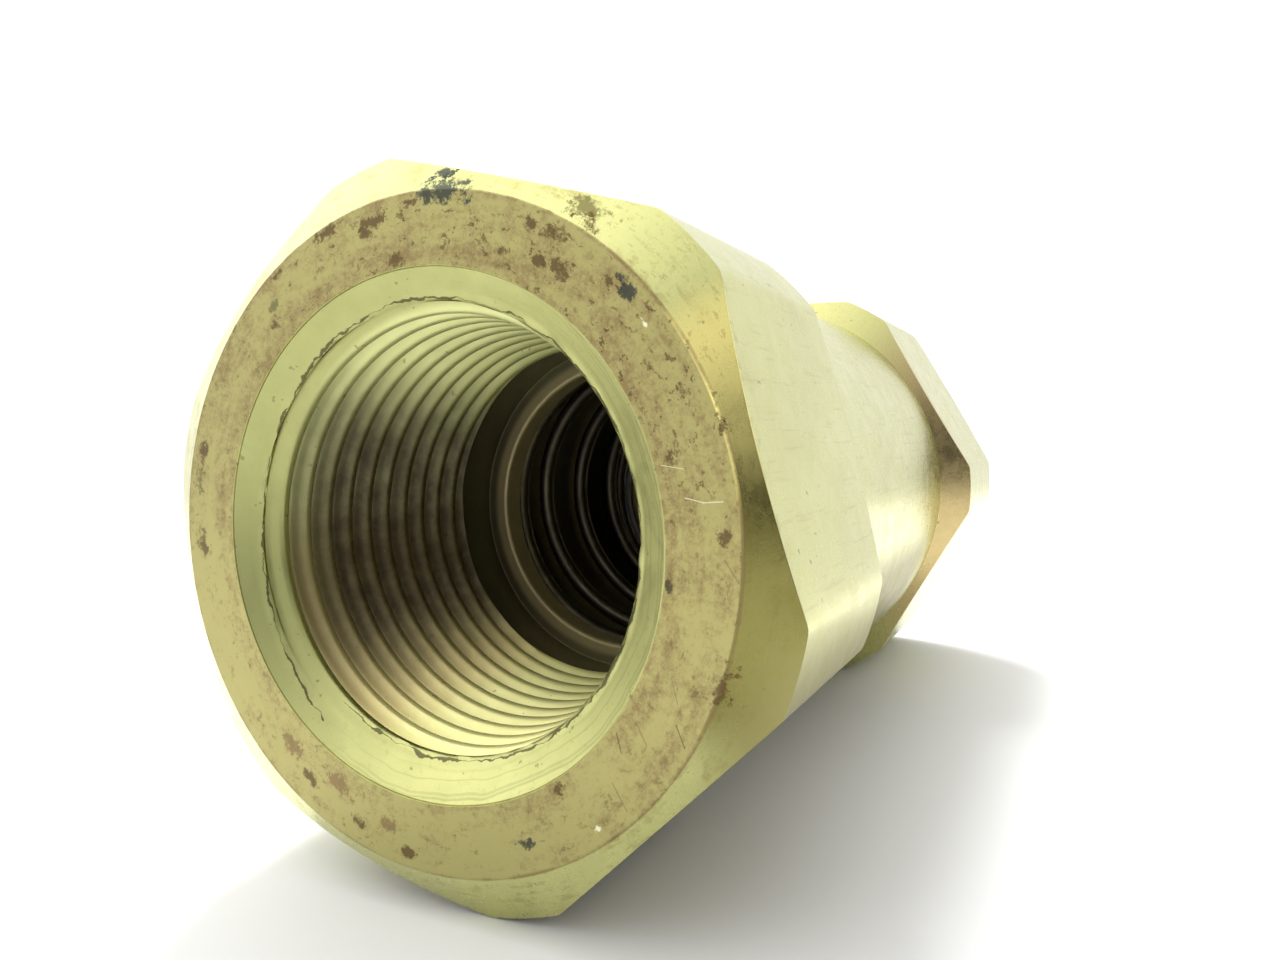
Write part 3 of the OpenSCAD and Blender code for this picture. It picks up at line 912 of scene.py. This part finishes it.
def add_floor():
    """White table top under the valve, which rests on its inlet hex and the outlet hex's lowest corner."""
    back_touch = Vector((inlet_x + 1.2, 0, -HEX_FLAT_R))
    corner = OUTLET_HEX_TURN - math.radians(60) - (math.pi / 6 - math.acos(HEX_FLAT_R / HEX_CORNER_R))
    front_touch = Vector((outlet_x - 2, 0, HEX_CORNER_R * math.sin(corner)))
    slope = (front_touch.z - back_touch.z) / (front_touch.x - back_touch.x)
    height = back_touch.z - slope * back_touch.x
    heading = Vector(VIEW_WAY).xy.normalized()
    side = Vector((-heading.y, heading.x))
    verts = []
    corners = [(-TABLE_FRONT, -TABLE_SIDE), (TABLE_REACH, -TABLE_SIDE),
               (TABLE_REACH, TABLE_SIDE), (-TABLE_FRONT, TABLE_SIDE)]
    for ahead, across in corners:
        spot = heading * ahead + side * across
        verts.append((spot.x * MM, spot.y * MM, (height + slope * spot.x) * MM))
    mesh = bpy.data.meshes.new("table_top")
    mesh.from_pydata(verts, [], [(0, 1, 2, 3)])
    floor = bpy.data.objects.new("table_top", mesh)
    floor.data.materials.append(floor_material())
    bpy.context.scene.collection.objects.link(floor)


def add_camera():
    data = bpy.data.cameras.new("camera")
    data.sensor_width = SENSOR_WIDTH
    data.lens = LENS
    data.clip_start = 0.001
    data.clip_end = 20
    camera = bpy.data.objects.new("camera", data)
    back = -Vector(VIEW_WAY).normalized()
    right = Vector(VIEW_UP).cross(back).normalized()
    up = back.cross(right)
    turned = Matrix((right, up, back)).transposed().to_4x4()
    camera.matrix_world = Matrix.Translation(Vector(EYE) * MM) @ turned
    bpy.context.scene.collection.objects.link(camera)
    bpy.context.scene.camera = camera


def add_area_light(name, place_mm, aim_mm, size_mm, power):
    data = bpy.data.lights.new(name, "AREA")
    data.size = size_mm * MM
    data.energy = power
    light = bpy.data.objects.new(name, data)
    light.location = Vector(place_mm) * MM
    light.rotation_euler = (Vector(aim_mm) - Vector(place_mm)).to_track_quat("-Z", "Y").to_euler()
    bpy.context.scene.collection.objects.link(light)


# Light from all round: a direction, the cosines to it where a change starts and ends, strength at each
WORLD_LIGHT = [
    ((0.62, 0.78, 0.0), 0.74, 1.0, 0.90, 0.08),
    ((0.1, -0.55, 0.83), 0.35, 1.0, 0.0, 1.3),
    ((-0.89, -0.45, 0.0), 0.1, 0.7, 0.0, 0.3)]


def add_world():
    """White studio tent, dimmer on the side where the photographer stands."""
    world = bpy.data.worlds.new("studio")
    world.use_nodes = True
    bpy.context.scene.world = world
    tree = world.node_tree
    background = tree.nodes["Background"]
    coordinates = tree.nodes.new("ShaderNodeTexCoord")
    total = None
    for way, start, end, low, high in WORLD_LIGHT:
        toward = tree.nodes.new("ShaderNodeVectorMath")
        toward.operation = "DOT_PRODUCT"
        toward.inputs[1].default_value = Vector(way).normalized()
        tree.links.new(coordinates.outputs["Generated"], toward.inputs[0])
        ramp = tree.nodes.new("ShaderNodeMapRange")
        ramp.interpolation_type = "SMOOTHSTEP"
        for socket, number in zip(ramp.inputs[1:], (start, end, low, high)):
            socket.default_value = number
        tree.links.new(toward.outputs["Value"], ramp.inputs[0])
        if total is None:
            total = ramp.outputs[0]
            continue
        plus = tree.nodes.new("ShaderNodeMath")
        tree.links.new(total, plus.inputs[0])
        tree.links.new(ramp.outputs[0], plus.inputs[1])
        total = plus.outputs[0]
    tree.links.new(total, background.inputs["Strength"])
    background.inputs["Color"].default_value = (1, 1, 1, 1)


add_floor()
add_camera()
add_world()
add_area_light("key", place_mm=(-210, -160, 420), aim_mm=(10, 0, -10), size_mm=160, power=3.2)
bpy.context.scene.view_settings.view_transform = "Standard"
